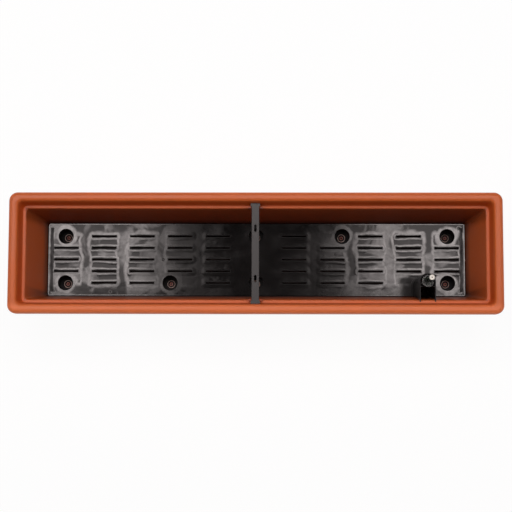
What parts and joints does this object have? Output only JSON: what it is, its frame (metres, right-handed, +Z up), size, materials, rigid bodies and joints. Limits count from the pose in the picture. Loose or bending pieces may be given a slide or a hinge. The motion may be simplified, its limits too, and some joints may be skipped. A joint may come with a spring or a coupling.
{
  "type": "window box planter",
  "caption": "Long self-watering window box with a rolled rim, a false floor with soil wells over a water reservoir, a cross brace, a filling shaft and a float level gauge",
  "frame": {"origin": "middle of the underside, on the face that it stands on", "axes": "+X along the box towards the level gauge, +Y to the long side away from the gauge, +Z up"},
  "size_m": [0.8, 0.197, 0.1754],
  "materials": {
    "terracotta_plastic": "satin moulded polypropylene, terracotta",
    "black_gloss_plastic": "glossy moulded polypropylene, black",
    "dark_grey_plastic": "satin moulded polypropylene, dark grey",
    "clear_plastic": "clear moulded polystyrene",
    "float_foam": "closed moulded float, dark green",
    "white_plastic": "satin moulded plastic, white",
    "black_plug_plastic": "satin moulded plastic, black"
  },
  "bodies": {
    "trough": {"trough": "terracotta_plastic", "drain_plug": "black_plug_plastic"},
    "insert": {"false_floor": "black_gloss_plastic", "filling_shaft": "black_gloss_plastic"},
    "gauge": {"gauge_tube": "clear_plastic", "gauge_foot": "clear_plastic"},
    "float": {"gauge_float": "float_foam", "float_rod": "white_plastic"},
    "brace": {"cross_brace": "dark_grey_plastic"}
  },
  "joints": [
    {"name": "insert_lift", "type": "slide", "parent": "trough", "child": "insert", "axis": [0, 0, 1], "range_m": [0, 0.06]},
    {"name": "gauge_lift", "type": "slide", "parent": "insert", "child": "gauge", "axis": [0, 0, 1], "range_m": [0, 0.12]},
    {"name": "float_rise", "type": "slide", "parent": "gauge", "child": "float", "axis": [0, 0, 1], "range_m": [0, 0.022]},
    {"name": "brace_lift", "type": "slide", "parent": "trough", "child": "brace", "axis": [0, 0, 1], "range_m": [0, 0.04]}
  ]
}
